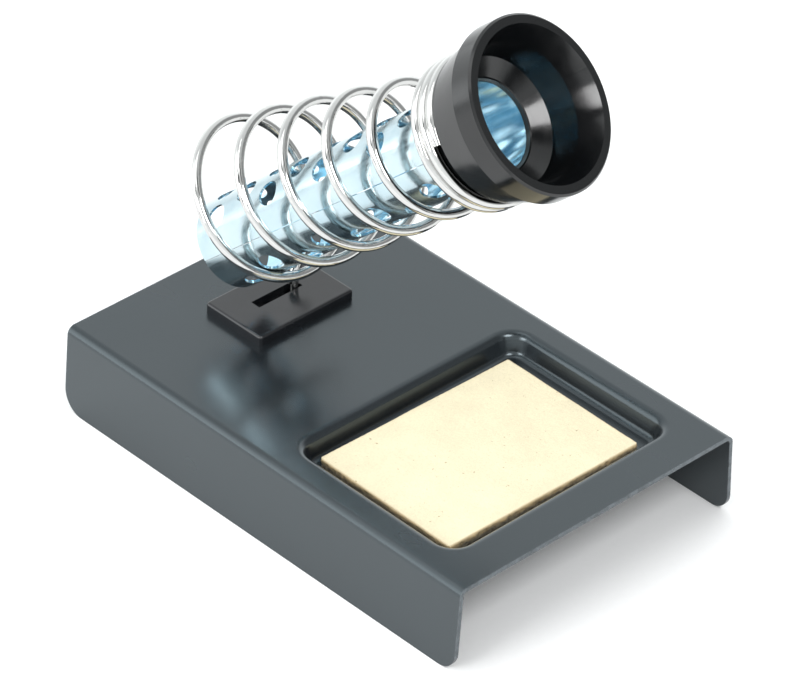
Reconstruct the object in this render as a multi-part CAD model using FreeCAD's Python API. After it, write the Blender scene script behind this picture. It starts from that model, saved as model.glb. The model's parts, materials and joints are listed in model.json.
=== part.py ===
import FreeCAD, Part
import math
import os

from FreeCAD import Vector as V

os.makedirs("parts", exist_ok=True)

# Soldering iron stand.  Millimetres, +Z up.
# Origin: centre of the base, on the table.  X is across the base, -Y is the
# front (sponge end), +Y is the rear (wire clamp end).

# ---------------------------------------------------------------- base plate
BASE_W = 86.0            # across the two flanges, at the top
BASE_L = 130.0
BASE_H = 22.5
SHEET = 1.0
BEND_R = 2.1             # outside radius of the folds
FLANGE_SPLAY = 1.0       # the flanges lean out this much at the foot
FOOT_R_FRONT = 5.0       # rounded lower corners of the flanges
FOOT_R_REAR = 6.0

TRAY_X = 72.6            # sponge tray, measured at the rim
TRAY_Y = 54.2
TRAY_CENTRE_Y = -28.4
TRAY_CORNER_R = 7.0
TRAY_DEPTH = 5.2
TRAY_DRAFT = 20.0        # lean of the tray walls, degrees
TRAY_RIM_R = 2.2
TRAY_FLOOR_R = 1.6

# --------------------------------------------------------------------- sponge
SPONGE_X = 59.0
SPONGE_Y = 43.0
SPONGE_T = 2.4
SPONGE_CENTRE = (-1.65, -28.8)
SPONGE_TURN = -1.0       # lies a degree askew in the tray
SPONGE_CORNER_R = 1.2

# ---------------------------------------------------------------- wire clamp
CLAMP_X = 29.6
CLAMP_FRONT_Y = 30.0
CLAMP_REAR_Y = 48.9
CLAMP_SEAM_Y = 41.85     # plane where the two halves meet
CLAMP_TOP = 2.6          # height above the plate
CLAMP_EDGE_R = 0.7
CLAMP_CORNER_R = 1.0
CUT_X = 24.0             # opening in the plate that the clamp fills
CUT_FRONT_Y = 32.6
CUT_REAR_Y = 46.6
CUT_R = 1.0
CLAMP_FIT = 0.05         # clearance of the clamp body in the opening
HOOK_OUT = 1.2           # hooks reach this far under the plate
HOOK_T = 1.6
BODY_BELOW = 3.0         # clamp body below the underside of the plate
SLOT_X = 13.6
SLOT_Y = 2.8
RELIEF_R = 3.0           # round relief under the clamp for the wire bend
RELIEF_H = 3.0
STOP_H = 2.9             # stop ribs below the clamp body
STOP_LOW_ANGLE = 61.0    # foot direction at the two stops, from +X
STOP_HIGH_ANGLE = 180.0

# --------------------------------------------------------------- spring wire
WIRE_D = 2.5
RISER_X = 5.2            # upright end of the wire, in the clamp slot
RISER_Y = 40.45
RISER_TOP_Z = 26.2       # the riser starts to curve into the coil here
FOOT_ANGLE = 102.7       # the foot points to the rear, from +X
FOOT_L = 12.6            # riser axis to the tip of the foot
FOOT_BEND_R = 2.6
FOOT_GAP = 0.05          # foot below the clamp body

COIL_REAR = (-1.53, 41.78, 52.61)   # middle of the rearmost ring
COIL_PHASE = -2.147      # angle of the wire at turn 0, radians
COIL_START = -0.72       # first turn of the coil, where the riser joins
OPEN_TURNS = 4.95        # open pitches between the rear ring and the neck
RUN_UP_FROM = 4.1        # the wire runs up to the neck between these turns
RUN_UP_TO = 4.72
COIL_R_REAR = 19.29      # mean radius at turn 0
COIL_TAPER = 0.90        # the radius shrinks this much a turn
TAPER_END = 4.2
GRIP_FROM = 4.6          # the wire bears on the neck from here
GRIP_TURNS_END = 6.87    # the wire is cut off here
GRIP_STEP_FROM = 0.0     # each gripping turn steps forward between these
GRIP_STEP_TO = 0.25
SECTIONS_A_TURN = 40
SECTIONS_A_RUN = 20
GRIP_GAP = 0.06          # between the gripping turns and the neck

# -------------------------------------------------------- funnel (mouthpiece)
FUNNEL_FRONT = (10.40, -30.48, 108.45)   # middle of the mouth
HOLDER_AZ = 12.7         # degrees from -Y towards +X
HOLDER_EL = 40.8         # degrees above level
LIP_R = 20.9
LIP_FACE_R = 20.4        # flat front face, outer edge
LIP_INNER_R = 18.45
COLLAR_L = 5.75
COLLAR_STEP = 0.5
BODY_REAR_R = 17.75
BODY_L = 15.6            # mouth to shoulder
NECK_R = 15.6
NECK_L = 8.6
BORE_R = 11.0
CONE_DEPTH = 5.75
CONE_R = 15.95
WALL_DEPTH = 13.2
WALL_R = 15.2
FLOOR_DEPTH = 15.7
FLOOR_R = 11.25

# ------------------------------------------------------------------ guard tube
TUBE_R = BORE_R - 0.01
TUBE_SHEET = 0.6
TUBE_FRONT = 16.65       # front edge, measured back from the mouth
TUBE_REAR = 105.8
PLAIN_END = 9.6          # unpierced front end, which the neck holds
SEAM_ANGLE = -87.0       # butt seam of the rolled sheet, on the left side
SEAM_GAP = 0.2
HOLE_D = 6.0
HOLE_PITCH = 18.7        # along the tube
HOLE_ROWS = 14
ROW_FIRST_ANGLE = -39.5
ROW_STEP = 21.1
ROW_A_START = 6.8        # first hole from the rear edge, odd and even rows
ROW_B_START = 16.3
HOLES_A = 4
HOLES_B = 4


def export(shape, name):
    shape.exportStep(os.path.join("parts", name + ".step"))


def rounded_block(x0, x1, y0, y1, z0, z1, r):
    """Upright block with its four vertical edges rounded."""
    body = Part.makeBox(x1 - x0, y1 - y0, z1 - z0, V(x0, y0, z0))
    up = [e for e in body.Edges
          if abs(e.Vertexes[0].Z - e.Vertexes[1].Z) > (z1 - z0) / 2.0]
    return body.makeFillet(r, up)


def edges_at(shape, z, inside):
    """Edges lying level at height z within the plan box inside."""
    x0, x1, y0, y1 = inside
    found = []
    for e in shape.Edges:
        b = e.BoundBox
        if abs(b.ZMin - z) < 1e-4 and abs(b.ZMax - z) < 1e-4:
            if b.XMin > x0 and b.XMax < x1 and b.YMin > y0 and b.YMax < y1:
                found.append(e)
    return found


# ============================================================== base plate
def base_section():
    """Closed outline of the folded sheet: top, two bends, two flanges."""
    lean = math.atan2(FLANGE_SPLAY, BASE_H - BEND_R)
    half = BASE_W / 2.0
    ri = BEND_R - SHEET
    cx, cz = half - BEND_R, BASE_H - BEND_R
    # direction of the flange, downwards and slightly outwards
    d = V(math.sin(lean), 0, -math.cos(lean))
    n = V(math.cos(lean), 0, math.sin(lean))        # outward normal
    o_top = V(cx, 0, BASE_H)
    o_mid = V(cx, 0, cz) + V(math.sin(math.pi / 4), 0,
                             math.cos(math.pi / 4)) * BEND_R
    o_low = V(cx, 0, cz) + n * BEND_R
    o_foot = o_low + d * (o_low.z / math.cos(lean))
    i_low = V(cx, 0, cz) + n * ri
    i_foot = i_low + d * (i_low.z / math.cos(lean))
    i_mid = V(cx, 0, cz) + V(math.sin(math.pi / 4), 0,
                             math.cos(math.pi / 4)) * ri
    i_top = V(cx, 0, BASE_H - SHEET)

    def m(p):
        return V(-p.x, p.y, p.z)

    line = Part.makeLine
    edges = [
        line(m(o_top), o_top),
        Part.Arc(o_top, o_mid, o_low).toShape(),
        line(o_low, o_foot),
        line(o_foot, i_foot),
        line(i_foot, i_low),
        Part.Arc(i_low, i_mid, i_top).toShape(),
        line(i_top, m(i_top)),
        Part.Arc(m(i_top), m(i_mid), m(i_low)).toShape(),
        line(m(i_low), m(i_foot)),
        line(m(i_foot), m(o_foot)),
        line(m(o_foot), m(o_low)),
        Part.Arc(m(o_low), m(o_mid), m(o_top)).toShape(),
    ]
    return Part.Face(Part.Wire(edges))


def foot_corner(y_end, sign, r):
    """Prism that trims one lower corner of both flanges to radius r."""
    a = V(0, y_end, r)
    b = V(0, y_end - sign * r, 0)
    s = math.sin(math.pi / 4)
    mid = V(0, y_end - sign * r * (1.0 - s), r * (1.0 - s))
    low = V(0, y_end + sign * 1.0, -1.0)
    back = V(0, y_end - sign * r, -1.0)
    side = V(0, y_end + sign * 1.0, r)
    edges = [Part.Arc(a, mid, b).toShape(), Part.makeLine(b, back),
             Part.makeLine(back, low), Part.makeLine(low, side),
             Part.makeLine(side, a)]
    face = Part.Face(Part.Wire(edges))
    face.translate(V(-BASE_W, 0, 0))
    return face.extrude(V(2 * BASE_W, 0, 0))


def tray_plan(z, more):
    """Rounded outline of the tray walls at height z, more larger all round."""
    lean = math.tan(math.radians(TRAY_DRAFT))
    rim = TRAY_RIM_R * math.tan(math.radians(90.0 - TRAY_DRAFT) / 2.0)
    step = more - rim - lean * (BASE_H - z)
    x, y = TRAY_X / 2.0 + step, TRAY_Y / 2.0 + step
    r = TRAY_CORNER_R + step
    face = rounded_block(-x, x, -y, y, 0, 1, r).Faces
    flat = [f for f in face if abs(f.BoundBox.ZMax) < 1e-6][0]
    wire = flat.OuterWire.copy()
    wire.translate(V(0, TRAY_CENTRE_Y, z))
    return wire


def tray_block(low, high, more):
    """Solid between two levels whose walls lean like the tray's."""
    return Part.makeLoft([tray_plan(low, more), tray_plan(high, more)], True, True)


def make_base_plate():
    y0 = -BASE_L / 2.0
    face = base_section()
    face.translate(V(0, y0, 0))
    body = face.extrude(V(0, BASE_L, 0))
    for y, sign, r in ((y0, -1, FOOT_R_FRONT), (-y0, 1, FOOT_R_REAR)):
        body = body.cut(foot_corner(y, sign, r))
    # pressed tray: outer skin first, then the hollow
    cy = TRAY_CENTRE_Y
    floor = BASE_H - TRAY_DEPTH
    under = BASE_H - SHEET
    box = (-TRAY_X / 2 - 3, TRAY_X / 2 + 3, cy - TRAY_Y / 2 - 3, cy + TRAY_Y / 2 + 3)
    outer = tray_block(floor - SHEET, under, SHEET / math.cos(math.radians(TRAY_DRAFT)))
    outer = outer.makeFillet(TRAY_FLOOR_R + SHEET,
                             edges_at(outer, floor - SHEET, box))
    body = body.fuse(outer).removeSplitter()
    body = body.makeFillet(TRAY_RIM_R - SHEET, edges_at(body, under, box))
    inner = tray_block(floor, BASE_H + 5, 0.0)
    inner = inner.makeFillet(TRAY_FLOOR_R, edges_at(inner, floor, box))
    body = body.cut(inner)
    body = body.makeFillet(TRAY_RIM_R, edges_at(body, BASE_H, box))
    # opening for the wire clamp
    cut = rounded_block(-CUT_X / 2, CUT_X / 2, CUT_FRONT_Y, CUT_REAR_Y,
                        BASE_H - 3, BASE_H + 3, CUT_R)
    return body.cut(cut)


# ================================================================== sponge
def make_sponge():
    x, y = SPONGE_X / 2.0, SPONGE_Y / 2.0
    z0 = BASE_H - TRAY_DEPTH + 0.02
    pad = rounded_block(-x, x, -y, y, z0, z0 + SPONGE_T, SPONGE_CORNER_R)
    pad.rotate(V(0, 0, 0), V(0, 0, 1), SPONGE_TURN)
    pad.translate(V(SPONGE_CENTRE[0], SPONGE_CENTRE[1], 0))
    return pad


# ============================================================== wire clamp
def foot_z():
    """Height of the axis of the wire foot, just under the clamp body."""
    return BASE_H - SHEET - BODY_BELOW - FOOT_GAP - WIRE_D / 2.0


def stop_rib(angle, side):
    """Rib below the clamp whose flank stops the foot at this direction."""
    a = math.radians(angle)
    along = V(math.cos(a), math.sin(a), 0)
    across = V(-math.sin(a), math.cos(a), 0) * side
    start = V(RISER_X, RISER_Y, 0) + along * 5.2
    near = start + across * (WIRE_D / 2.0 + 0.05)
    top = BASE_H - SHEET - BODY_BELOW
    width, length = 2.0, 6.0
    pts = [near, near + along * length, near + along * length + across * width,
           near + across * width, near]
    face = Part.Face(Part.makePolygon([V(p.x, p.y, top - STOP_H) for p in pts]))
    return face.extrude(V(0, 0, STOP_H + 0.5))


def make_clamp_halves():
    under = BASE_H - SHEET
    low = under - BODY_BELOW
    gap = 0.01
    half = CLAMP_X / 2.0
    # whole clamp first, then split at the seam
    cap = rounded_block(-half, half, CLAMP_FRONT_Y, CLAMP_REAR_Y,
                        BASE_H, BASE_H + CLAMP_TOP, CLAMP_CORNER_R)
    box = (-half - 1, half + 1, CLAMP_FRONT_Y - 1, CLAMP_REAR_Y + 1)
    cap = cap.makeFillet(CLAMP_EDGE_R, edges_at(cap, BASE_H + CLAMP_TOP, box))
    f = CLAMP_FIT
    body = rounded_block(-CUT_X / 2 + f, CUT_X / 2 - f, CUT_FRONT_Y + f,
                         CUT_REAR_Y - f, low, BASE_H + 0.5, CUT_R)
    hooks = Part.makeBox(CUT_X - 6.0, CUT_REAR_Y - CUT_FRONT_Y + 2 * HOOK_OUT,
                         HOOK_T, V(-CUT_X / 2 + 3.0, CUT_FRONT_Y - HOOK_OUT,
                                   under - HOOK_T - 0.02))
    whole = cap.fuse(body).fuse(hooks).removeSplitter()
    slot = Part.makeBox(SLOT_X, SLOT_Y, 20.0,
                        V(-SLOT_X / 2, CLAMP_SEAM_Y - SLOT_Y, low - 5))
    relief = Part.makeCylinder(RELIEF_R, RELIEF_H + 5.0,
                               V(RISER_X, RISER_Y, low - 5.0))
    whole = whole.cut(relief)
    tall = 60.0
    front_space = Part.makeBox(80, 80, tall, V(-40, CLAMP_SEAM_Y - 80 - gap / 2,
                                               BASE_H - 30))
    rear_space = Part.makeBox(80, 80, tall, V(-40, CLAMP_SEAM_Y + gap / 2,
                                              BASE_H - 30))
    rib_front = stop_rib(STOP_HIGH_ANGLE, 1)
    rib_rear = stop_rib(STOP_LOW_ANGLE, -1)
    front = whole.common(front_space).cut(slot)
    front = front.fuse(rib_front).removeSplitter()
    rear = whole.common(rear_space)
    rear = rear.fuse(rib_rear.common(rear_space)).removeSplitter()
    return front, rear


# ================================================================== holder
def axis_frame(az, el):
    """Forward, sideways and upward directions of a slanted axis."""
    a, e = math.radians(az), math.radians(el)
    d = V(math.sin(a) * math.cos(e), -math.cos(a) * math.cos(e), math.sin(e))
    s = V(math.cos(a), math.sin(a), 0)
    u = d.cross(s)
    if u.z < 0:
        u = u * -1.0
    return d, s, u


def on_axis(depth):
    """Point on the axis of the mouthpiece, depth behind the mouth."""
    d = axis_frame(HOLDER_AZ, HOLDER_EL)[0]
    return V(*FUNNEL_FRONT) - d * depth


def ease(x):
    x = min(1.0, max(0.0, x))
    return x * x * (3.0 - 2.0 * x)


def grip_depth(turn):
    """Depth of the gripping turns: level rings joined by short steps."""
    last = BODY_L + WIRE_D / 2.0 + 0.02
    pitch = WIRE_D + 0.03
    span = GRIP_STEP_TO - GRIP_STEP_FROM
    stepped = sum(ease((turn - k - GRIP_STEP_FROM) / span) for k in (5, 6))
    return last + pitch * (2.0 - stepped)


def open_run(turn):
    """Pitches covered at this turn: one a turn, then a cubic that comes to
    rest at OPEN_TURNS."""
    if turn <= RUN_UP_FROM:
        return turn
    span = RUN_UP_TO - RUN_UP_FROM
    t = (turn - RUN_UP_FROM) / span
    rest = t * t * (3.0 - 2.0 * t)
    return (RUN_UP_FROM * (1.0 - rest) + OPEN_TURNS * rest
            + span * t * (1.0 - t) ** 2)


def coil_point(turn):
    """Centre line of the wire at this turn.

    Open turns follow a straight spine from the rear ring to the neck of the
    mouthpiece while the radius shrinks evenly; the gripping turns lie round
    the neck itself.
    """
    start = V(*COIL_REAR)
    end = on_axis(grip_depth(5.0))
    spine = end - start
    chord_az = math.degrees(math.atan2(spine.x, -spine.y))
    chord_el = math.degrees(math.asin(spine.z / spine.Length))
    if turn < RUN_UP_TO:
        centre = start + spine * (open_run(turn) / OPEN_TURNS)
    else:
        centre = on_axis(grip_depth(turn))
    blend = ease((turn - TAPER_END) / (5.0 - TAPER_END))
    az = chord_az + (HOLDER_AZ - chord_az) * blend
    el = chord_el + (HOLDER_EL - chord_el) * blend
    s, u = axis_frame(az, el)[1:]
    grip_r = NECK_R + GRIP_GAP + WIRE_D / 2.0
    free_r = COIL_R_REAR - COIL_TAPER * min(turn, TAPER_END)
    radius = free_r + (grip_r - free_r) * ease(
        (turn - TAPER_END) / (GRIP_FROM - TAPER_END))
    a = COIL_PHASE - 2.0 * math.pi * turn
    return centre + u * (radius * math.cos(a)) + s * (radius * math.sin(a))


def spread(a, b, n):
    """n points from a up to, but not including, b."""
    return [a + (b - a) * (i / float(n)) for i in range(n)]


def wire_points():
    """Centre line of the wire, from the tip of the foot to the cut end."""
    a = math.radians(FOOT_ANGLE)
    out = V(math.cos(a), math.sin(a), 0)
    base = V(RISER_X, RISER_Y, foot_z())
    r = FOOT_BEND_R
    top = V(RISER_X, RISER_Y, RISER_TOP_Z)
    pts = spread(base + out * FOOT_L, base + out * r, 9)
    for i in range(5):
        t = math.pi / 10.0 * i
        pts.append(base + out * (r - r * math.sin(t))
                   + V(0, 0, r - r * math.cos(t)))
    pts += spread(base + V(0, 0, r), top, 6)
    join = coil_point(COIL_START)
    tangent = coil_point(COIL_START + 0.002) - coil_point(COIL_START - 0.002)
    tangent.normalize()
    reach = 0.40 * (join - top).Length
    sweep = Part.BezierCurve()
    sweep.setPoles([top, top + V(0, 0, reach), join - tangent * reach, join])
    pts += [sweep.value(i / 7.0) for i in range(7)]
    turns = GRIP_TURNS_END - COIL_START
    steps = int(round(turns * SECTIONS_A_TURN))
    pts += [coil_point(COIL_START + turns * i / float(steps))
            for i in range(steps + 1)]
    return pts


def make_holder_spring():
    """Round wire lofted in runs of sections, then sewn into one solid."""
    pts = wire_points()
    length = [0.0]
    for p, q in zip(pts, pts[1:]):
        length.append(length[-1] + (q - p).Length)
    curve = Part.BSplineCurve()
    curve.interpolate(Points=pts, Parameters=length)
    rings = []
    x = V(1, 0, 0)
    for p, at in zip(pts, length):
        t = V(*curve.tangent(at)[0])
        x = x - t * x.dot(t)                    # carried along without twist
        x.normalize()
        ring = Part.makeCircle(WIRE_D / 2.0)
        turn = FreeCAD.Rotation(x, t.cross(x), t)
        ring.Placement = FreeCAD.Placement(p, turn)
        rings.append(Part.Wire(ring))
    faces = [Part.Face(rings[0]), Part.Face(rings[-1])]
    last = len(rings) - 1
    starts = list(range(0, last - SECTIONS_A_RUN // 2, SECTIONS_A_RUN))
    for i, j in zip(starts, starts[1:] + [last]):
        faces += Part.makeLoft(rings[i:j + 1], False, False, False, 5).Faces
    skin = Part.makeShell(faces)
    skin.sewShape()
    return Part.makeSolid(skin)


def to_holder(shape):
    """Place a shape built about +Z (mouth at 0, rear at negative Z)."""
    d, s, u = axis_frame(HOLDER_AZ, HOLDER_EL)
    p = V(*FUNNEL_FRONT)
    m = FreeCAD.Matrix(s.x, u.x, d.x, p.x,
                       s.y, u.y, d.y, p.y,
                       s.z, u.z, d.z, p.z,
                       0, 0, 0, 1)
    if s.cross(u).dot(d) < 0:
        m = FreeCAD.Matrix(-s.x, u.x, d.x, p.x,
                           -s.y, u.y, d.y, p.y,
                           -s.z, u.z, d.z, p.z,
                           0, 0, 0, 1)
    placed = shape.copy()
    placed.Placement = FreeCAD.Placement(m).multiply(placed.Placement)
    return placed


def make_funnel():
    outline = [
        (LIP_INNER_R, 0.0), (LIP_FACE_R, 0.0), (LIP_R, 0.5), (LIP_R, COLLAR_L),
        (LIP_R - COLLAR_STEP, COLLAR_L), (BODY_REAR_R, BODY_L),
        (NECK_R, BODY_L), (NECK_R, BODY_L + NECK_L - 0.6),
        (NECK_R - 0.6, BODY_L + NECK_L), (BORE_R, BODY_L + NECK_L),
        (BORE_R, FLOOR_DEPTH + 0.3), (FLOOR_R, FLOOR_DEPTH),
        (WALL_R, WALL_DEPTH), (CONE_R, CONE_DEPTH),
    ]
    pts = [V(r, 0, -z) for r, z in outline]
    pts.append(pts[0])
    face = Part.Face(Part.makePolygon(pts))
    return to_holder(face.revolve(V(0, 0, 0), V(0, 0, 1), 360))


def ring(length, low):
    """Length of the guard tube's sheet, closed and plain, from a level up."""
    outside = Part.makeCylinder(TUBE_R, length, V(0, 0, low))
    return outside.cut(Part.makeCylinder(TUBE_R - TUBE_SHEET, length, V(0, 0, low)))


def make_guard_tube():
    length = TUBE_REAR - TUBE_FRONT
    pierced = ring(length - PLAIN_END, -TUBE_REAR)
    tube = pierced.fuse(ring(PLAIN_END, -TUBE_FRONT - PLAIN_END))
    mirror = 1.0
    d, s, u = axis_frame(HOLDER_AZ, HOLDER_EL)
    if s.cross(u).dot(d) < 0:
        mirror = -1.0

    def radial(angle):
        # angle from straight up towards the sideways direction
        a = math.radians(angle)
        return V(mirror * math.sin(a), math.cos(a), 0)

    drills = []
    for row in range(HOLE_ROWS):
        out = radial(ROW_FIRST_ANGLE + ROW_STEP * row)
        first, count = ((ROW_A_START, HOLES_A) if row % 2 == 0
                        else (ROW_B_START, HOLES_B))
        for k in range(count):
            z = -TUBE_REAR + first + HOLE_PITCH * k
            drills.append(Part.makeCylinder(
                HOLE_D / 2.0, 6.0, out * (TUBE_R - 3.0) + V(0, 0, z), out))
    out = radial(SEAM_ANGLE)
    across = V(-out.y, out.x, 0)
    seam = Part.makeBox(4.0, SEAM_GAP, length + 2, V(0, -SEAM_GAP / 2.0, 0))
    turn = FreeCAD.Rotation(V(1, 0, 0), out)
    seam.Placement = FreeCAD.Placement(out * (TUBE_R - 2.0)
                                       + V(0, 0, -TUBE_REAR - 1), turn)
    tube = tube.cut(drills + [seam])
    return to_holder(tube)


if __name__ == "__main__":
    export(make_base_plate(), "base_plate")
    export(make_sponge(), "sponge")
    clamp_front, clamp_rear = make_clamp_halves()
    export(clamp_front, "clamp_front_half")
    export(clamp_rear, "clamp_rear_half")
    export(make_holder_spring(), "holder_spring")
    export(make_guard_tube(), "guard_tube")
    export(make_funnel(), "funnel")
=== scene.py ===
import json
import math

import bpy
import numpy as np
from mathutils import Matrix, Vector


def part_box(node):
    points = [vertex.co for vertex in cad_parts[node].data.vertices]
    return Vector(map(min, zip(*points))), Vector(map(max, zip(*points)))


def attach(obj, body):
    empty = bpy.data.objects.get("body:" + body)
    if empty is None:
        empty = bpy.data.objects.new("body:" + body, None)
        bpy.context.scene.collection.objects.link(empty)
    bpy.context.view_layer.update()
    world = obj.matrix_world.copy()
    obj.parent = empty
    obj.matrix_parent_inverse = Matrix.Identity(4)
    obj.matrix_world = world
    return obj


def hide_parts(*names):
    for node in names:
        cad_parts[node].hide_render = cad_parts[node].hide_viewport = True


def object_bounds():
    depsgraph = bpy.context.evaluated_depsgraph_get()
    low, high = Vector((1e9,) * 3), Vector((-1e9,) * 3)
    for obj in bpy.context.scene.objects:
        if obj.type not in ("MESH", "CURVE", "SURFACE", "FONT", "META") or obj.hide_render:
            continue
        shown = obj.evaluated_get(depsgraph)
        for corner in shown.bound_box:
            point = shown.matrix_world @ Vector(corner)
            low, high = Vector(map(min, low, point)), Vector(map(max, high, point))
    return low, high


bl_info = {
    "name": "Soldering iron stand finishes",
    "version": (1, 0, 0),
    "blender": (4, 5, 0),
    "location": "View3D > Sidebar > Iron Stand",
    "description": "Finishes, cellulose sponge and studio for a soldering iron stand",
    "category": "Object",
}

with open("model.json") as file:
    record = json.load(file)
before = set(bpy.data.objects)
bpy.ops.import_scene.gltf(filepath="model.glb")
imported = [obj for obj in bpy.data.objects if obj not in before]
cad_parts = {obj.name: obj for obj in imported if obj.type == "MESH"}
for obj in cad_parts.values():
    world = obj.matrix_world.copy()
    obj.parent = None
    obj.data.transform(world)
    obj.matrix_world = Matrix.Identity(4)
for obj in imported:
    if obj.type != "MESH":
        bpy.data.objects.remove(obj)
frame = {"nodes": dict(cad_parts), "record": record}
CAD_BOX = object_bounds()

MM = 0.001

# studio: unit-like directions from the stand, and the white tent's levels
LEFT_FROM = (-0.90, 0.05, 0.42)
FRONT_FROM = (-0.11, -0.64, 0.76)
TOP_FROM = (-0.35, 0.25, 1.1)
SOFTBOX_AWAY = 1.6
SIDE_BOX = (0.7, 0.6)
TOP_BOX = (0.8, 0.8)
DARK_WALL = (0.74, -0.58, 0.34)
BRIGHT_WALL = (-0.745, 0.573, 0.332)
POLE_SIDES = (-50.0, 62.0)
POLE_HALF_WIDTH = math.radians(4.0)
POLE_FADE = math.radians(9.0)
TENT_TINT = (0.96, 0.99, 1.0, 1.0)
FLOOR_REACH = 8.0
AIM_OFFSET = (-0.00518, -0.00565, 0.03938)
SENSOR_WIDTH = 36.0

# sponge mesh
FACE_COLUMNS = 190
FACE_LINES = 136
WALL_ROWS = 7
EDGE_PACKING = 0.86
EDGE_ROLL = 0.35 * MM


# ------------------------------------------------------------------ settings
class CoatSettings(bpy.types.PropertyGroup):
    colour: bpy.props.FloatVectorProperty(
        name="Coat colour", description="Baked coat on the folded base",
        subtype="COLOR", size=3, min=0.0, max=1.0, default=(0.009, 0.011, 0.013))
    roughness: bpy.props.FloatProperty(
        name="Coat roughness", description="Mean roughness of the baked coat",
        min=0.0, max=1.0, default=0.24, subtype="FACTOR")
    peel: bpy.props.FloatProperty(
        name="Orange peel", description="Height of the waves in the coat",
        default=0.000004, unit="LENGTH")


class PlasticSettings(bpy.types.PropertyGroup):
    clamp_colour: bpy.props.FloatVectorProperty(
        name="Clamp colour", description="Moulded wire clamp",
        subtype="COLOR", size=3, min=0.0, max=1.0, default=(0.010, 0.011, 0.013))
    mouth_colour: bpy.props.FloatVectorProperty(
        name="Mouthpiece colour", description="Heat-proof moulded mouthpiece",
        subtype="COLOR", size=3, min=0.0, max=1.0, default=(0.0035, 0.004, 0.0045))
    roughness: bpy.props.FloatProperty(
        name="Plastic roughness", description="Mean roughness of both mouldings",
        min=0.0, max=1.0, default=0.15, subtype="FACTOR")


class MetalSettings(bpy.types.PropertyGroup):
    wire_colour: bpy.props.FloatVectorProperty(
        name="Wire plating", description="Bright nickel on the spring wire",
        subtype="COLOR", size=3, min=0.0, max=1.0, default=(0.60, 0.60, 0.59))
    wire_roughness: bpy.props.FloatProperty(
        name="Wire roughness", description="Roughness of the drawn wire",
        min=0.0, max=1.0, default=0.07, subtype="FACTOR")
    zinc_colour: bpy.props.FloatVectorProperty(
        name="Zinc plating", description="Pale blue zinc outside the guard tube",
        subtype="COLOR", size=3, min=0.0, max=1.0, default=(0.54, 0.64, 0.67))
    # painted reflection: the deeper blue inside the guard tube is the colour that
    # reflections between its walls build up, painted into the base colour
    inside_reflection_colour: bpy.props.FloatVectorProperty(
        name="Inner plating", description="Deeper blue zinc inside the guard tube",
        subtype="COLOR", size=3, min=0.0, max=1.0, default=(0.46, 0.71, 0.84))
    zinc_roughness: bpy.props.FloatProperty(
        name="Zinc roughness", description="Roughness of the rolled sheet",
        min=0.0, max=1.0, default=0.15, subtype="FACTOR")


class SpongeSettings(bpy.types.PropertyGroup):
    turn: bpy.props.FloatProperty(
        name="Turn", description="How far the sponge lies askew in its tray",
        default=math.radians(-1.0), subtype="ANGLE", unit="ROTATION")
    corner: bpy.props.FloatProperty(
        name="Corner radius", description="Radius of the cut corners",
        default=1.2 * MM, unit="LENGTH")
    ragged: bpy.props.FloatProperty(
        name="Ragged edge", description="Depth of the roughness of the cut edge",
        default=0.28 * MM, unit="LENGTH")
    colour: bpy.props.FloatVectorProperty(
        name="Sponge colour", description="Dry pressed cellulose",
        subtype="COLOR", size=3, min=0.0, max=1.0, default=(0.76, 0.68, 0.48))
    # edge_colour is the cut edge's own brown; the near-black foot that sponge_finish makes
    # from it is painted shade
    edge_colour: bpy.props.FloatVectorProperty(
        name="Cut edge colour", description="The darker, scorched cut edge",
        subtype="COLOR", size=3, min=0.0, max=1.0, default=(0.40, 0.28, 0.13))


class StudioSettings(bpy.types.PropertyGroup):
    heading: bpy.props.FloatProperty(
        name="Camera heading", description="Direction of view, from +Y towards +X",
        default=math.radians(45.08), subtype="ANGLE", unit="ROTATION")
    height_angle: bpy.props.FloatProperty(
        name="Camera height", description="Angle of the camera above level",
        default=math.radians(35.79), subtype="ANGLE", unit="ROTATION")
    roll: bpy.props.FloatProperty(
        name="Camera roll", description="Tilt of the camera about its own axis",
        default=math.radians(2.31), subtype="ANGLE", unit="ROTATION")
    distance: bpy.props.FloatProperty(
        name="Camera distance", description="Camera to the point it looks at",
        default=1.1767, unit="LENGTH")
    lens: bpy.props.FloatProperty(
        name="Lens", description="Focal length on a 36 mm wide sensor",
        default=235.3, unit="CAMERA")
    dome: bpy.props.FloatProperty(
        name="Dome", description="Brightness of the white tent round the stand",
        default=1.12)
    behind: bpy.props.FloatProperty(
        name="Behind", description="Brightness of the tent behind the stand, by the rest",
        default=1.3)
    left_light: bpy.props.FloatProperty(
        name="Left light", description="Power of the softbox on the left",
        default=11.0, unit="POWER")
    front_light: bpy.props.FloatProperty(
        name="Front light", description="Power of the softbox high in front",
        default=13.0, unit="POWER")
    top_light: bpy.props.FloatProperty(
        name="Top light", description="Power of the softbox above the stand",
        default=3.0, unit="POWER")


# ------------------------------------------------------------- shader helpers
def fresh_material(name):
    """New node material; returns it with its tree and its main shader."""
    material = bpy.data.materials.new(name)
    material.use_nodes = True
    tree = material.node_tree
    return material, tree, tree.nodes["Principled BSDF"]


def node(tree, kind, inputs=None, **settings):
    """One shader node with its settings and its unlinked inputs filled in."""
    made = tree.nodes.new(kind)
    for key, value in settings.items():
        setattr(made, key, value)
    for key, value in (inputs or {}).items():
        if isinstance(value, bpy.types.NodeSocket):
            tree.links.new(value, made.inputs[key])
        else:
            made.inputs[key].default_value = value
    return made


def place(tree, scale=(1.0, 1.0, 1.0), turn=(0.0, 0.0, 0.0)):
    """Object coordinates, turned then stretched, as a vector socket."""
    coords = tree.nodes.new("ShaderNodeTexCoord")
    turned = node(tree, "ShaderNodeMapping", {
        "Vector": coords.outputs["Object"], "Rotation": turn})
    stretched = node(tree, "ShaderNodeMapping", {
        "Vector": turned.outputs["Vector"], "Scale": scale})
    return stretched.outputs["Vector"]


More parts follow.
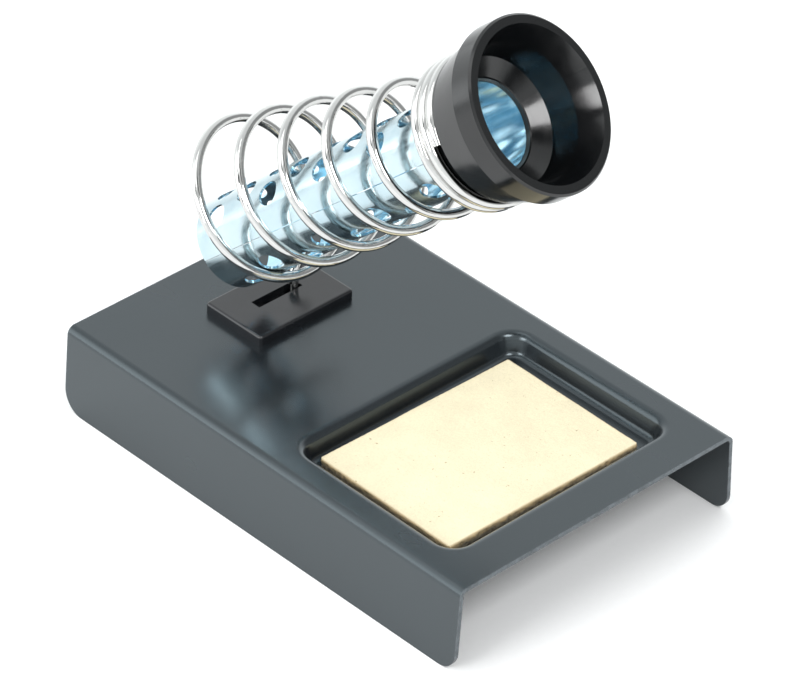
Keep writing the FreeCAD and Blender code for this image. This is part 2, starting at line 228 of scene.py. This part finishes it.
def grain(tree, vector, size, detail=3.0, roughness=0.5):
    """Noise whose features are about size metres across, from 0 to 1."""
    return node(tree, "ShaderNodeTexNoise", {
        "Vector": vector, "Scale": 1.0 / size, "Detail": detail,
        "Roughness": roughness}).outputs["Fac"]


def remap(tree, value, low, high, to_low, to_high, smooth=False):
    """value from low..high to to_low..to_high, held at the ends."""
    kind = "SMOOTHSTEP" if smooth else "LINEAR"
    return node(tree, "ShaderNodeMapRange", {
        "Value": value, "From Min": low, "From Max": high,
        "To Min": to_low, "To Max": to_high},
        interpolation_type=kind).outputs["Result"]


def maths(tree, operation, a, b=0.0):
    return node(tree, "ShaderNodeMath", {0: a, 1: b},
                operation=operation).outputs["Value"]


def tint(tree, factor, first, second):
    """Colour that runs from first to second with factor."""
    mixed = node(tree, "ShaderNodeMix", data_type="RGBA")
    tree.links.new(factor, mixed.inputs["Factor"])
    for socket, value in ((mixed.inputs[6], first), (mixed.inputs[7], second)):
        if isinstance(value, bpy.types.NodeSocket):
            tree.links.new(value, socket)
        else:
            socket.default_value = (*value, 1.0)
    return mixed.outputs[2]


def bump(tree, height, distance, strength=1.0, onto=None):
    """Bump from a height of 0 to 1 that stands for distance metres."""
    made = node(tree, "ShaderNodeBump", {
        "Height": height, "Distance": distance, "Strength": strength})
    if onto is not None:
        tree.links.new(onto, made.inputs["Normal"])
    return made.outputs["Normal"]


def shade(colour, factor):
    return tuple(min(1.0, c * factor) for c in colour)


def finish_node(name, material):
    """Give every material slot of a CAD node this finish."""
    part = frame["nodes"][name]
    for slot in part.material_slots:
        slot.material = material


# ------------------------------------------------------------------ finishes
def coat_finish(settings):
    """Dark baked coat: fine orange peel, faint rubbing, wear on the cut edges."""
    material, tree, shader = fresh_material("charcoal_baked_coat")
    where = place(tree)
    broad = grain(tree, where, 30.0 * MM, 1.0)
    rub = grain(tree, place(tree, (1.0, 0.3, 1.0)), 11.0 * MM, 2.0, 0.5)
    patches = remap(tree, broad, 0.3, 0.7, -0.03, 0.03, True)
    marks = remap(tree, rub, 0.3, 0.7, -0.015, 0.015, True)
    rough = maths(tree, "ADD", maths(tree, "ADD", patches, marks), settings.roughness)
    tree.links.new(rough, shader.inputs["Roughness"])

    # a worn line along the cut ends of the sheet, broken up by noise
    axes = node(tree, "ShaderNodeSeparateXYZ", {"Vector": where})
    far = maths(tree, "ABSOLUTE", axes.outputs["Y"])
    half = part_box("base_plate")[1].y
    ends = remap(tree, far, half - 0.35 * MM, half, 0.0, 1.0, True)
    wear = maths(tree, "MULTIPLY", ends,
                 remap(tree, grain(tree, where, 1.6 * MM, 4.0, 0.7), 0.35, 0.65, 0.2, 1.0))
    body = tint(tree, broad, shade(settings.colour, 0.8), shade(settings.colour, 1.2))
    tree.links.new(tint(tree, wear, body, (0.08, 0.09, 0.10)), shader.inputs["Base Color"])

    peel = grain(tree, where, 1.6 * MM, 1.0)
    tree.links.new(bump(tree, peel, settings.peel), shader.inputs["Normal"])
    shader.inputs["IOR"].default_value = 1.7
    shader.inputs["Specular Tint"].default_value = (0.80, 0.94, 1.0, 1.0)
    return material


def moulded_finish(name, colour, settings, flow):
    """Glossy black moulding: slight sink marks, flow lines and dust."""
    material, tree, shader = fresh_material(name)
    where = place(tree)
    flowing = grain(tree, place(tree, (1.0, 1.0, 0.25)), flow, 3.0, 0.55)
    tree.links.new(tint(tree, flowing, shade(colour, 0.75), shade(colour, 1.3)),
                   shader.inputs["Base Color"])
    haze = remap(tree, grain(tree, where, 5.0 * MM, 4.0, 0.6), 0.3, 0.75, -0.03, 0.07)
    tree.links.new(maths(tree, "ADD", haze, settings.roughness),
                   shader.inputs["Roughness"])
    sink = bump(tree, grain(tree, where, 7.0 * MM, 1.0), 0.00004)
    skin = bump(tree, grain(tree, where, 0.5 * MM, 2.0), 0.0000025, 1.0, sink)
    tree.links.new(skin, shader.inputs["Normal"])
    shader.inputs["IOR"].default_value = 1.55
    return material


def wire_finish(settings):
    """Bright plated spring wire: near mirror, with faint drawing haze."""
    material, tree, shader = fresh_material("bright_plated_wire")
    where = place(tree)
    haze = grain(tree, where, 2.2 * MM, 4.0, 0.65)
    tree.links.new(tint(tree, haze, shade(settings.wire_colour, 0.93),
                        shade(settings.wire_colour, 1.04)), shader.inputs["Base Color"])
    rough = remap(tree, haze, 0.3, 0.75, settings.wire_roughness - 0.025,
                  settings.wire_roughness + 0.06)
    tree.links.new(rough, shader.inputs["Roughness"])
    tree.links.new(bump(tree, grain(tree, where, 0.6 * MM, 2.0), 0.0000015),
                   shader.inputs["Normal"])
    shader.inputs["Metallic"].default_value = 1.0
    return material


def zinc_finish(settings):
    """Pale blue zinc on rolled sheet: cloudy tint, rolling lines, soft mirror."""
    material, tree, shader = fresh_material("blue_zinc_sheet")
    where = place(tree)
    axis = Vector(barrel_mount()["axis"])
    level = math.atan2(axis.z, math.hypot(axis.x, axis.y))
    heading = math.atan2(axis.x, -axis.y)
    along = place(tree, (1.0, 0.06, 1.0), (level, 0.0, -heading))
    rolled = grain(tree, along, 0.7 * MM, 3.0, 0.6)
    cloud = grain(tree, where, 9.0 * MM, 3.0, 0.6)
    pale = shade(settings.zinc_colour, 1.06)
    deep = (settings.zinc_colour[0] * 0.86, settings.zinc_colour[1] * 0.93,
            settings.zinc_colour[2] * 0.97)
    outer = tint(tree, remap(tree, cloud, 0.3, 0.7, 0.0, 1.0), deep, pale)
    # inside the bore the base colour is the deeper blue painted reflection; outside it is
    # the clouded zinc
    bore = barrel_mount()["dims"]["r_mm"] * MM
    outside = remap(tree, off_axis(tree), bore + 0.1 * MM, bore + 0.4 * MM, 0.0, 1.0)
    tree.links.new(tint(tree, outside, settings.inside_reflection_colour, outer),
                   shader.inputs["Base Color"])
    rough = maths(tree, "ADD", remap(tree, rolled, 0.3, 0.7, -0.03, 0.06),
                  remap(tree, cloud, 0.3, 0.7, settings.zinc_roughness - 0.03,
                        settings.zinc_roughness + 0.05))
    tree.links.new(rough, shader.inputs["Roughness"])
    lines = bump(tree, rolled, 0.000003)
    dents = bump(tree, grain(tree, where, 6.0 * MM, 1.0), 0.00003, 1.0, lines)
    tree.links.new(dents, shader.inputs["Normal"])
    shader.inputs["Metallic"].default_value = 1.0
    return material


def sponge_finish(settings):
    """Pressed cellulose: cream face with fine fibres, pores and brown flecks;
    the cut edge is browner and coarser, and nearly black at its foot, where the dark is
    painted shade."""
    material, tree, shader = fresh_material("pressed_cellulose")
    where = place(tree)
    fibres = grain(tree, where, 0.45 * MM, 5.0, 0.7)
    cloud = grain(tree, where, 9.0 * MM, 3.0, 0.6)
    face = tint(tree, remap(tree, cloud, 0.3, 0.7, 0.0, 1.0),
                shade(settings.colour, 0.95), shade(settings.colour, 1.04))
    face = tint(tree, remap(tree, fibres, 0.42, 0.62, 0.0, 0.28), face,
                shade(settings.colour, 0.72))
    flecks = remap(tree, grain(tree, where, 1.1 * MM, 2.0), 0.70, 0.76, 0.0, 0.7)
    face = tint(tree, flecks, face, shade(settings.edge_colour, 0.8))
    rim = node(tree, "ShaderNodeAttribute", attribute_name="cut_edge",
               attribute_type="GEOMETRY").outputs["Fac"]
    coarse = remap(tree, grain(tree, where, 0.8 * MM, 4.0, 0.75), 0.3, 0.7, 0.35, 1.0)
    edge = tint(tree, coarse, shade(settings.edge_colour, 0.7),
                shade(settings.edge_colour, 1.35))
    # painted shade: the cut edge runs from near black at its foot up to its own brown near
    # the top
    low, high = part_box("sponge")
    axes = node(tree, "ShaderNodeSeparateXYZ", {"Vector": where})
    upper = remap(tree, axes.outputs["Z"], low.z + 0.9 * MM, high.z - 0.3 * MM, 0.0, 1.0)
    edge = tint(tree, upper, shade(settings.edge_colour, 0.12), edge)
    amount = maths(tree, "MULTIPLY", rim, remap(tree, coarse, 0.35, 1.0, 0.75, 1.0))
    tree.links.new(tint(tree, amount, face, edge), shader.inputs["Base Color"])
    pores = node(tree, "ShaderNodeTexVoronoi", {"Vector": where, "Scale": 1.0 / (0.9 * MM)})
    holes = remap(tree, pores.outputs["Distance"], 0.05, 0.3, 0.0, 1.0, True)
    rough_face = bump(tree, fibres, 0.00012, 0.8)
    tree.links.new(bump(tree, holes, 0.00010, 0.5, rough_face), shader.inputs["Normal"])
    shader.inputs["Roughness"].default_value = 0.92
    shader.inputs["Specular IOR Level"].default_value = 0.15
    shader.inputs["Sheen Weight"].default_value = 0.15
    return material


def barrel_mount():
    """The record's mount for the iron's barrel: the bore of the guard tube."""
    for mount in frame["record"]["mounts"]:
        if mount["name"] == "iron_barrel":
            return mount
    raise RuntimeError("the record has no iron_barrel mount")


def off_axis(tree):
    """Distance from the axis of the guard tube: the root of the squared
    distance to a point of the axis less the squared part along the axis."""
    mount = barrel_mount()
    coords = tree.nodes.new("ShaderNodeTexCoord").outputs["Object"]
    arm = node(tree, "ShaderNodeVectorMath", {0: coords, 1: tuple(mount["pos_m"])},
               operation="SUBTRACT").outputs["Vector"]
    whole = node(tree, "ShaderNodeVectorMath", {0: arm, 1: arm},
                 operation="DOT_PRODUCT").outputs["Value"]
    along = node(tree, "ShaderNodeVectorMath", {0: arm, 1: tuple(mount["axis"])},
                 operation="DOT_PRODUCT").outputs["Value"]
    return maths(tree, "SQRT", maths(tree, "SUBTRACT", whole,
                                     maths(tree, "MULTIPLY", along, along)))


# -------------------------------------------------------------------- sponge
def waves(x, y, z, size, seed, count=14):
    """Sum of plane sine waves in random directions with wavelengths about
    size, scaled to stay within about -1 and 1."""
    rng = np.random.default_rng(seed)
    total = np.zeros(np.broadcast(x, y, z).shape)
    for _ in range(count):
        direction = rng.normal(size=3)
        direction *= 2.0 * math.pi / (size * rng.uniform(0.6, 1.5)
                                      * np.linalg.norm(direction))
        phase = rng.uniform(0.0, 2.0 * math.pi)
        total += np.sin(direction[0] * x + direction[1] * y + direction[2] * z + phase)
    return total / math.sqrt(count * 1.5)


def rounded_plan(u, v, half_x, half_y, corner):
    """Plan of a rectangle with round corners, for u and v from -1 to 1.

    A point in a corner square (within corner of both sides) moves towards the
    square's inner corner by largest(qx, qy) / length(q), which carries the
    square onto a quarter disc.
    """
    x, y = u * half_x, v * half_y
    qx = np.maximum(np.abs(x) - (half_x - corner), 0.0)
    qy = np.maximum(np.abs(y) - (half_y - corner), 0.0)
    shrink = np.maximum(qx, qy) / np.maximum(np.hypot(qx, qy), 1e-12)
    both = (qx > 0) & (qy > 0)
    nx = np.sign(x) * (half_x - corner + qx * shrink)
    ny = np.sign(y) * (half_y - corner + qy * shrink)
    return np.where(both, nx, x), np.where(both, ny, y)


def border(grid):
    """Indices round the edge of a grid, in order."""
    return np.concatenate([grid[:-1, 0], grid[-1, :-1], grid[:0:-1, -1], grid[0, :0:-1]])


def quads_of(grid):
    """Quads between neighbouring rows and columns of an index grid."""
    a, b, c, d = grid[:-1, :-1], grid[1:, :-1], grid[1:, 1:], grid[:-1, 1:]
    return np.stack([a, b, c, d], axis=-1).reshape(-1, 4)


def quad_mesh(name, points, quads):
    """Mesh object at the origin from point and quad arrays."""
    mesh = bpy.data.meshes.new(name)
    mesh.vertices.add(len(points))
    mesh.vertices.foreach_set("co", points.astype(np.float32).ravel())
    mesh.loops.add(quads.size)
    mesh.loops.foreach_set("vertex_index", quads.astype(np.int32).ravel())
    mesh.polygons.add(len(quads))
    mesh.polygons.foreach_set("loop_start", np.arange(0, quads.size, 4, dtype=np.int32))
    mesh.update(calc_edges=True)
    mesh.validate()
    mesh.shade_smooth()
    made = bpy.data.objects.new(name, mesh)
    bpy.context.scene.collection.objects.link(made)
    return made


def sponge_surface(settings):
    """Closed surface of the sponge and how near each point is to the cut edge.

    Face: plan rounded_plan(u, v), height = top + slow waves + fine waves, less
    a quarter-round roll-off beside the edge.  Wall: the border carried down in
    rows, pushed in and out by waves of (x, y, z).  Base: flat on the tray.
    """
    low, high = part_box("sponge")
    c, s = math.cos(settings.turn), abs(math.sin(settings.turn))
    size_x, size_y = high.x - low.x, high.y - low.y
    half_x = (size_x * c - size_y * s) / (c * c - s * s) / 2.0 - settings.ragged / 2.0
    half_y = (size_y * c - size_x * s) / (c * c - s * s) / 2.0 - settings.ragged / 2.0
    # closer together near the edges
    u = np.sin(np.linspace(-1.0, 1.0, FACE_COLUMNS) * math.pi / 2.0 * EDGE_PACKING)
    v = np.sin(np.linspace(-1.0, 1.0, FACE_LINES) * math.pi / 2.0 * EDGE_PACKING)
    u, v = np.meshgrid(u / u.max(), v / v.max(), indexing="ij")
    x, y = rounded_plan(u, v, half_x, half_y, settings.corner)
    inset = np.minimum(half_x - np.abs(x), half_y - np.abs(y))
    into = EDGE_ROLL - np.minimum(inset, EDGE_ROLL)
    drop = np.where(inset < EDGE_ROLL, EDGE_ROLL - np.sqrt(np.maximum(
        EDGE_ROLL ** 2 - into ** 2, 0.0)), 0.0)
    ceiling = high.z - 0.10 * MM
    top = (ceiling - drop + 0.05 * MM * waves(x, y, 0 * x, 13.0 * MM, 3)
           + 0.022 * MM * waves(x, y, 0 * x, 1.3 * MM, 5, 30))
    face = np.stack([x, y, top], axis=-1).reshape(-1, 3)
    base = np.stack([x, y, np.full_like(x, low.z + 0.01 * MM)], axis=-1).reshape(-1, 3)

    count = FACE_COLUMNS * FACE_LINES
    face_ids = np.arange(count).reshape(FACE_COLUMNS, FACE_LINES)
    rim = border(face_ids)
    upper, lower = face[rim], base[rim]
    share = np.linspace(0.0, 1.0, WALL_ROWS + 2)[1:-1, None, None]
    wall = upper[None] * (1.0 - share) + lower[None] * share
    out = upper[:, :2] / np.array([half_x, half_y])
    out = np.sign(out) * (np.abs(out) > 0.97)
    rough = (waves(wall[..., 0], wall[..., 1], wall[..., 2], 1.1 * MM, 11, 30)
             + 0.8 * waves(wall[..., 0], wall[..., 1], wall[..., 2], 4.5 * MM, 12))
    wall[..., :2] += out[None] * (rough * settings.ragged * 0.5)[..., None]

    points = np.concatenate([face, base, wall.reshape(-1, 3)])
    ring = len(rim)
    rows = [rim] + [2 * count + k * ring + np.arange(ring) for k in range(WALL_ROWS)]
    rows.append(border(face_ids + count))
    belt = np.stack(rows)
    belt = np.concatenate([belt, belt[:, :1]], axis=1)
    quads = np.concatenate([quads_of(face_ids), quads_of(face_ids + count)[:, ::-1],
                            quads_of(belt)])
    edge = np.concatenate([
        np.clip(1.0 - inset.reshape(-1) / (0.5 * MM), 0.0, 1.0) * 0.85,
        np.ones(count), np.ones(WALL_ROWS * ring)])

    turn = np.array([[math.cos(settings.turn), -math.sin(settings.turn)],
                     [math.sin(settings.turn), math.cos(settings.turn)]])
    points[:, :2] = points[:, :2] @ turn.T
    points[:, :2] += np.array([(low.x + high.x) / 2.0, (low.y + high.y) / 2.0])
    return points, quads, edge


# ----------------------------------------------------------------- operators
class StandCoatBase(bpy.types.Operator):
    """Give the folded base its dark baked coat"""
    bl_idname = "iron_stand.coat_base"
    bl_label = "Coat the base"

    def execute(self, context):
        finish_node("base_plate", coat_finish(context.scene.stand_coat))
        return {"FINISHED"}


class StandMouldClamp(bpy.types.Operator):
    """Give both halves of the wire clamp their glossy moulded finish"""
    bl_idname = "iron_stand.mould_clamp"
    bl_label = "Finish the wire clamp"

    def execute(self, context):
        settings = context.scene.stand_plastic
        for half, flow in (("clamp_front_half", 5.0 * MM), ("clamp_rear_half", 6.0 * MM)):
            finish_node(half, moulded_finish(half + "_moulding", settings.clamp_colour,
                                             settings, flow))
        return {"FINISHED"}


class StandMouldMouthpiece(bpy.types.Operator):
    """Give the mouthpiece its glossy heat-proof moulded finish"""
    bl_idname = "iron_stand.mould_mouthpiece"
    bl_label = "Finish the mouthpiece"

    def execute(self, context):
        settings = context.scene.stand_plastic
        finish_node("funnel", moulded_finish("mouthpiece_moulding", settings.mouth_colour,
                                             settings, 8.0 * MM))
        return {"FINISHED"}


class StandPlateWire(bpy.types.Operator):
    """Plate the spring wire"""
    bl_idname = "iron_stand.plate_wire"
    bl_label = "Plate the wire"

    def execute(self, context):
        finish_node("holder_spring", wire_finish(context.scene.stand_metal))
        return {"FINISHED"}


class StandPlateGuard(bpy.types.Operator):
    """Plate the guard tube with blue zinc"""
    bl_idname = "iron_stand.plate_guard"
    bl_label = "Plate the guard tube"

    def execute(self, context):
        finish_node("guard_tube", zinc_finish(context.scene.stand_metal))
        return {"FINISHED"}


class StandMakeSponge(bpy.types.Operator):
    """Lay a pressed cellulose sponge in the tray"""
    bl_idname = "iron_stand.make_sponge"
    bl_label = "Make the sponge"

    def execute(self, context):
        settings = context.scene.stand_sponge
        points, quads, edge = sponge_surface(settings)
        sponge = quad_mesh("cellulose_sponge", points, quads)
        attribute = sponge.data.attributes.new("cut_edge", "FLOAT", "POINT")
        attribute.data.foreach_set("value", edge.astype(np.float32))
        sponge.data.materials.append(sponge_finish(settings))
        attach(sponge, "sponge_pad")
        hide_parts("sponge")
        return {"FINISHED"}


def tent(settings):
    """White tent, brighter behind the stand, dimmer overhead and at the right
    front, with two dark poles beside the camera that draw the dark lines on
    the bright wire."""
    world = bpy.data.worlds.new("white_tent")
    bpy.context.scene.world = world
    world.use_nodes = True
    tree = world.node_tree
    glow = tree.nodes["Background"]
    towards = tree.nodes.new("ShaderNodeTexCoord").outputs["Generated"]

    def along(direction):
        return node(tree, "ShaderNodeVectorMath", {0: towards, 1: tuple(direction)},
                    operation="DOT_PRODUCT").outputs["Value"]

    level = remap(tree, along((0.0, 0.0, 1.0)), 0.05, 0.9, 1.25, 0.75, True)
    a, e = settings.heading, settings.height_angle
    mirrored = (math.sin(a) * math.cos(e), math.cos(a) * math.cos(e), math.sin(e))
    behind = remap(tree, along(mirrored), 0.60, 0.92, 1.0, settings.behind, True)
    level = maths(tree, "MULTIPLY", level, behind)
    dark_wall = remap(tree, along(DARK_WALL), 0.70, 0.93, 1.0, 0.33, True)
    level = maths(tree, "MULTIPLY", level, dark_wall)
    bright_wall = remap(tree, along(BRIGHT_WALL), 0.78, 0.96, 1.0, 2.3, True)
    level = maths(tree, "MULTIPLY", level, bright_wall)
    for side in POLE_SIDES:
        b = a + math.pi + math.radians(side)
        off_pole = maths(tree, "ABSOLUTE", along((math.cos(b), -math.sin(b), 0.0)))
        facing = remap(tree, along((math.sin(b), math.cos(b), 0.0)), 0.1, 0.3, 1.0, 0.0)
        clear = remap(tree, off_pole, math.sin(POLE_HALF_WIDTH), math.sin(POLE_FADE),
                      0.05, 1.0, True)
        level = maths(tree, "MULTIPLY", level, maths(tree, "MAXIMUM", clear, facing))
    tree.links.new(maths(tree, "MULTIPLY", level, settings.dome), glow.inputs["Strength"])
    glow.inputs["Color"].default_value = TENT_TINT


def softbox(name, place_at, aim, width, height, power):
    """Rectangular area light aimed at a point."""
    data = bpy.data.lights.new(name, "AREA")
    data.shape = "RECTANGLE"
    data.size, data.size_y = width, height
    data.energy = power
    lamp = bpy.data.objects.new(name, data)
    bpy.context.scene.collection.objects.link(lamp)
    lamp.location = place_at
    lamp.rotation_euler = (aim - place_at).to_track_quat("-Z", "Y").to_euler()
    return lamp


class StandStage(bpy.types.Operator):
    """Set up the pale floor, the white tent, the softboxes and the camera"""
    bl_idname = "iron_stand.stage"
    bl_label = "Set the stage"

    def execute(self, context):
        scene = context.scene
        settings = scene.stand_studio
        low, high = CAD_BOX

        corners = FLOOR_REACH * np.array([(-1.0, -1.0, 0.0), (1.0, -1.0, 0.0),
                                          (1.0, 1.0, 0.0), (-1.0, 1.0, 0.0)])
        corners[:, 2] = low.z - 0.02 * MM
        floor = quad_mesh("studio_floor", corners, np.array([[0, 1, 2, 3]]))
        paper, tree, shader = fresh_material("white_paper")
        fine = grain(tree, place(tree), 1.5 * MM, 2.0)
        tree.links.new(tint(tree, fine, (0.90, 0.90, 0.90), (0.93, 0.93, 0.93)),
                       shader.inputs["Base Color"])
        shader.inputs["Roughness"].default_value = 0.9
        shader.inputs["Specular IOR Level"].default_value = 0.1
        floor.data.materials.append(paper)

        tent(settings)
        middle = (low + high) / 2.0
        a, e = settings.heading, settings.height_angle
        view = Vector((math.sin(a) * math.cos(e), math.cos(a) * math.cos(e), -math.sin(e)))
        softbox("left_softbox", middle + Vector(LEFT_FROM) * SOFTBOX_AWAY, middle,
                *SIDE_BOX, settings.left_light)
        softbox("front_softbox", middle + Vector(FRONT_FROM) * SOFTBOX_AWAY, middle,
                *SIDE_BOX, settings.front_light)
        softbox("top_softbox", middle + Vector(TOP_FROM), middle,
                *TOP_BOX, settings.top_light)

        # the camera looks at a point close to the base's centre line, a third
        # of the stand's height up
        aim = Vector((low.x + high.x, low.y + high.y, 0.0)) / 2.0
        aim += Vector(AIM_OFFSET)
        data = bpy.data.cameras.new("stand_camera")
        data.sensor_width = SENSOR_WIDTH
        data.lens = settings.lens
        data.clip_start, data.clip_end = 0.05, 60.0
        camera = bpy.data.objects.new("stand_camera", data)
        scene.collection.objects.link(camera)
        turn = view.to_track_quat("-Z", "Y").to_matrix()
        camera.matrix_world = (Matrix.Translation(aim - view * settings.distance)
                               @ (turn @ Matrix.Rotation(settings.roll, 3, "Z")).to_4x4())
        scene.camera = camera
        scene.view_settings.view_transform = "Standard"
        scene.view_settings.look = "None"
        return {"FINISHED"}


# --------------------------------------------------------------------- panel
class StandPanel(bpy.types.Panel):
    """Finishes and studio of the soldering iron stand"""
    bl_idname = "VIEW3D_PT_iron_stand"
    bl_label = "Iron Stand"
    bl_space_type = "VIEW_3D"
    bl_region_type = "UI"
    bl_category = "Iron Stand"

    def draw(self, context):
        for name, _ in SETTINGS:
            box = self.layout.box()
            group = getattr(context.scene, name)
            for key in group.__annotations__:
                box.prop(group, key)
        for step in STEPS:
            self.layout.operator(step.bl_idname)


SETTINGS = (
    ("stand_coat", CoatSettings),
    ("stand_plastic", PlasticSettings),
    ("stand_metal", MetalSettings),
    ("stand_sponge", SpongeSettings),
    ("stand_studio", StudioSettings),
)
STEPS = (StandCoatBase, StandMouldClamp, StandMouldMouthpiece, StandPlateWire,
         StandPlateGuard, StandMakeSponge, StandStage)


def register():
    for name, group in SETTINGS:
        bpy.utils.register_class(group)
        setattr(bpy.types.Scene, name, bpy.props.PointerProperty(type=group))
    for step in STEPS:
        bpy.utils.register_class(step)
    bpy.utils.register_class(StandPanel)


def unregister():
    bpy.utils.unregister_class(StandPanel)
    for step in reversed(STEPS):
        bpy.utils.unregister_class(step)
    for name, group in reversed(SETTINGS):
        delattr(bpy.types.Scene, name)
        bpy.utils.unregister_class(group)


def main():
    register()
    bpy.ops.iron_stand.coat_base()
    bpy.ops.iron_stand.mould_clamp()
    bpy.ops.iron_stand.mould_mouthpiece()
    bpy.ops.iron_stand.plate_wire()
    bpy.ops.iron_stand.plate_guard()
    bpy.ops.iron_stand.make_sponge()
    bpy.ops.iron_stand.stage()


if __name__ == "__main__":
    main()
